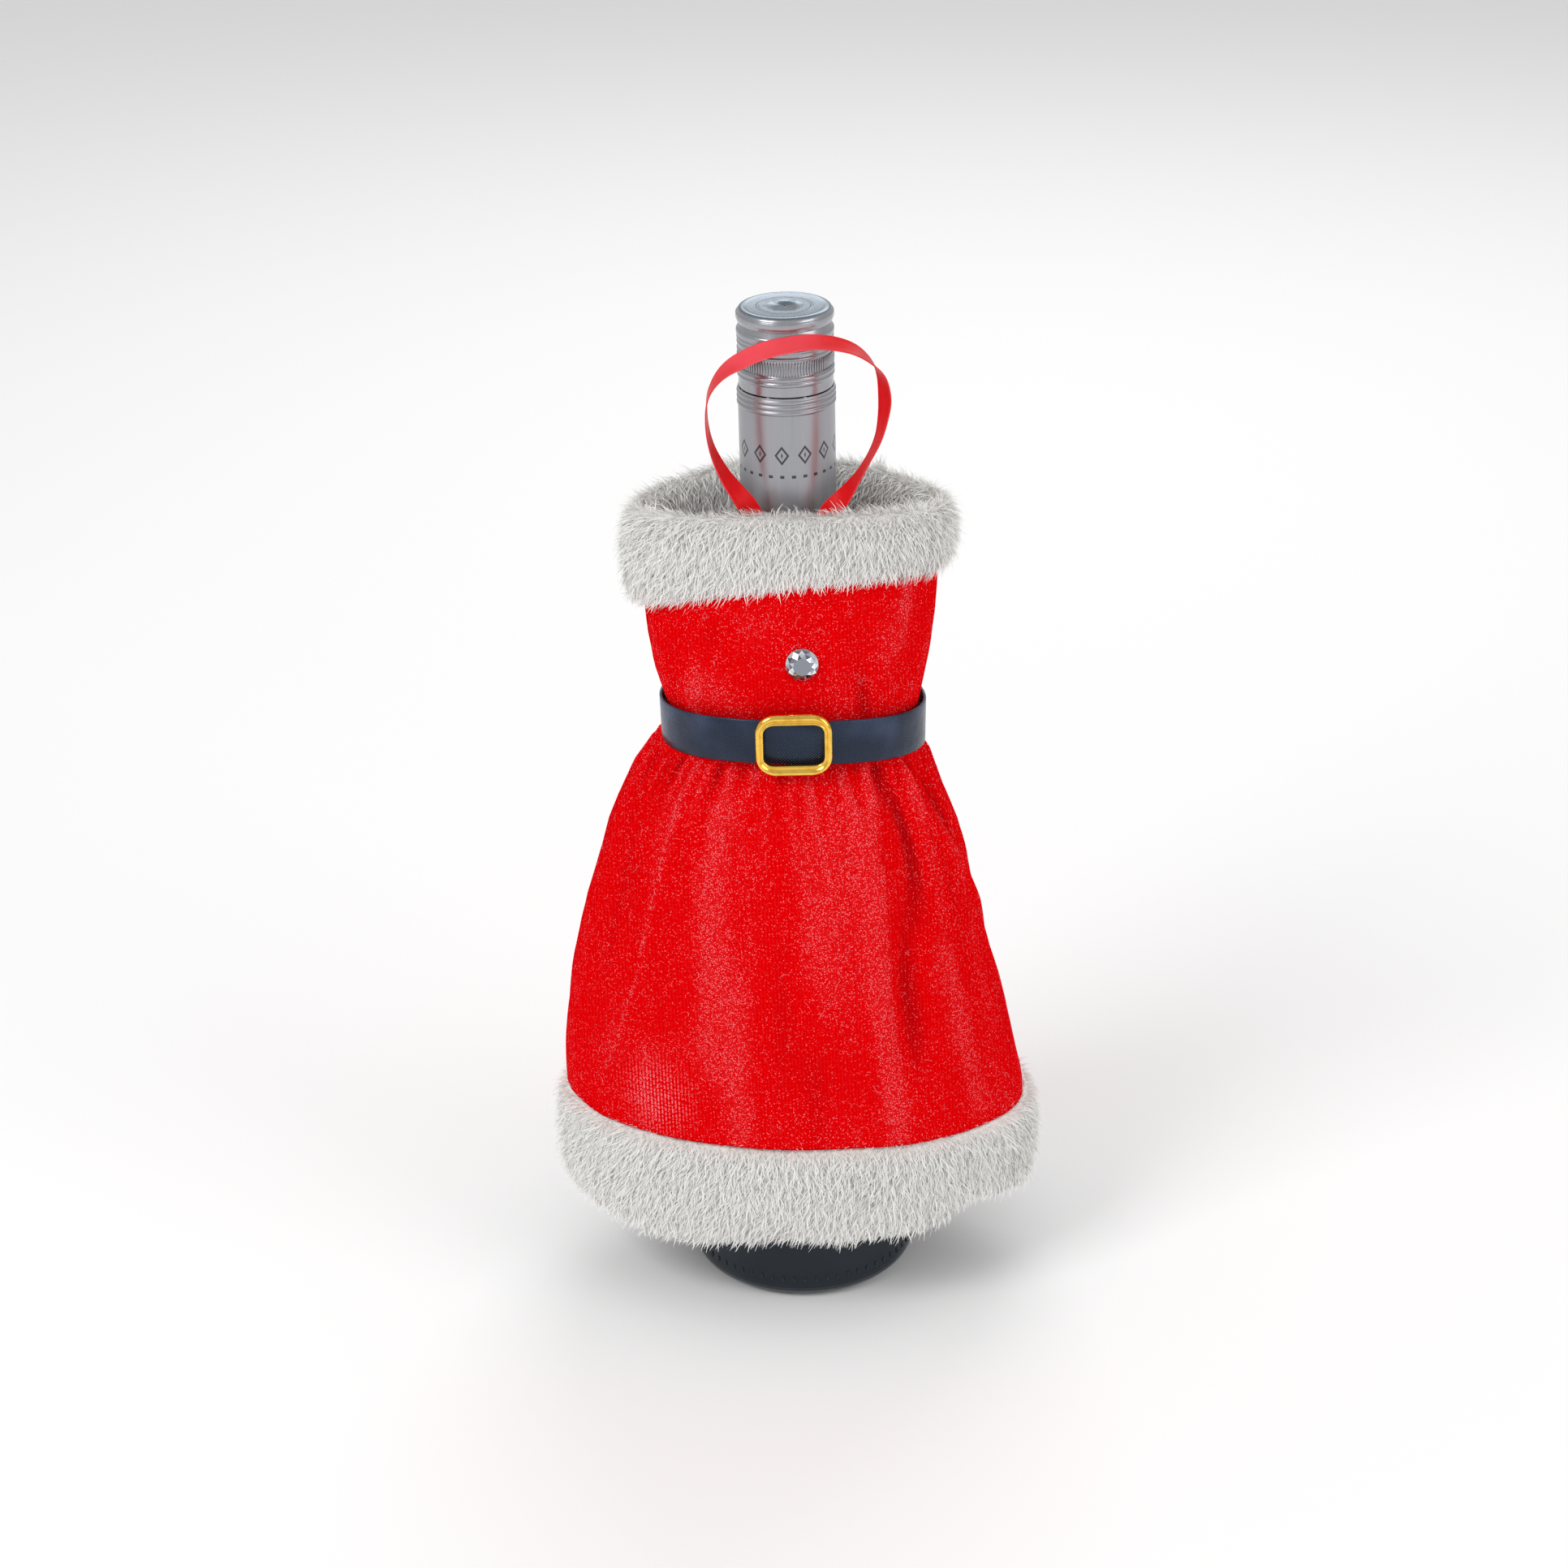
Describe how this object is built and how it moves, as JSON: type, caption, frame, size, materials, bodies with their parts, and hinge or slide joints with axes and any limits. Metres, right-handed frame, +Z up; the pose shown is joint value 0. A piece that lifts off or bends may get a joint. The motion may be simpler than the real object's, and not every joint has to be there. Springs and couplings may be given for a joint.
{
  "type": "bottle dress on wine bottle",
  "caption": "Dress-shaped fabric cover for a wine bottle, with gathered skirt, plush collar and hem, strap belt with slide buckle, gem and folding ribbon hanger, on its screw-capped bottle.",
  "frame": {"origin": "centre of the object's footprint, on the plane the bottle stands on", "axes": "+Z up along the bottle, -Y towards the front with the buckle and gem, +X to the right seen from the front"},
  "size_m": [0.1614, 0.107, 0.33],
  "materials": {
    "dark_glass": "dark, glossy",
    "wine": null,
    "cap_metal": "satin silver",
    "liner": "matte",
    "velvet": "crushed velvet",
    "plush": "short pile",
    "strap": "satin, embossed",
    "thread": "thread",
    "gold": "polished gold",
    "stone": "cut, clear",
    "foil": "silver foil",
    "glue": "clear glue",
    "satin": "satin"
  },
  "bodies": {
    "bottle": {"bottle_glass": "dark_glass", "wine": "wine", "cap_sleeve": "cap_metal"},
    "cap_seal": {"cap_liner": "liner"},
    "cap": {"cap_shell": "cap_metal"},
    "dress": {"bodice_front": "velvet", "bodice_back": "velvet", "bodice_side_seams": "velvet", "waist_seam": "velvet", "collar_front": "plush", "collar_back": "plush", "skirt_front": "velvet", "skirt_back": "velvet", "skirt_side_seams": "velvet", "hem_front": "plush", "hem_back": "plush", "belt_strap": "strap", "belt_lap": "strap", "belt_tacks": "thread", "gem_stone": "stone", "gem_foil": "foil", "gem_glue": "glue", "ribbon_tails": "satin", "ribbon_tacks": "thread"},
    "buckle": {"buckle": "gold"},
    "ribbon": {"ribbon_loop": "satin"}
  },
  "joints": [
    {"name": "dress_lift", "type": "slide", "parent": "bottle", "child": "dress", "axis": [0, 0, 1], "range_m": [0, 0.31]},
    {"name": "cap_rise", "type": "slide", "parent": "bottle", "child": "cap_seal", "axis": [0, 0, 1], "range_m": [0, 0.0045]},
    {"name": "cap_turn", "type": "hinge", "parent": "cap_seal", "child": "cap", "pos_m": [0, 0, 0.318], "axis": [0, 0, 1], "range_deg": [0, 540]},
    {"name": "buckle_slide", "type": "hinge", "parent": "dress", "child": "buckle", "pos_m": [0, 0.0272, 0.1997], "axis": [0, 0, 1], "range_deg": [-5, 5]},
    {"name": "ribbon_fold", "type": "hinge", "parent": "dress", "child": "ribbon", "pos_m": [0, -0.0178, 0.276], "axis": [1, 0, 0], "range_deg": [0, 90]}
  ],
  "couplings": [
    {"joint": "cap_turn", "follows": "cap_rise", "rad_per_m": 2094.4}
  ]
}
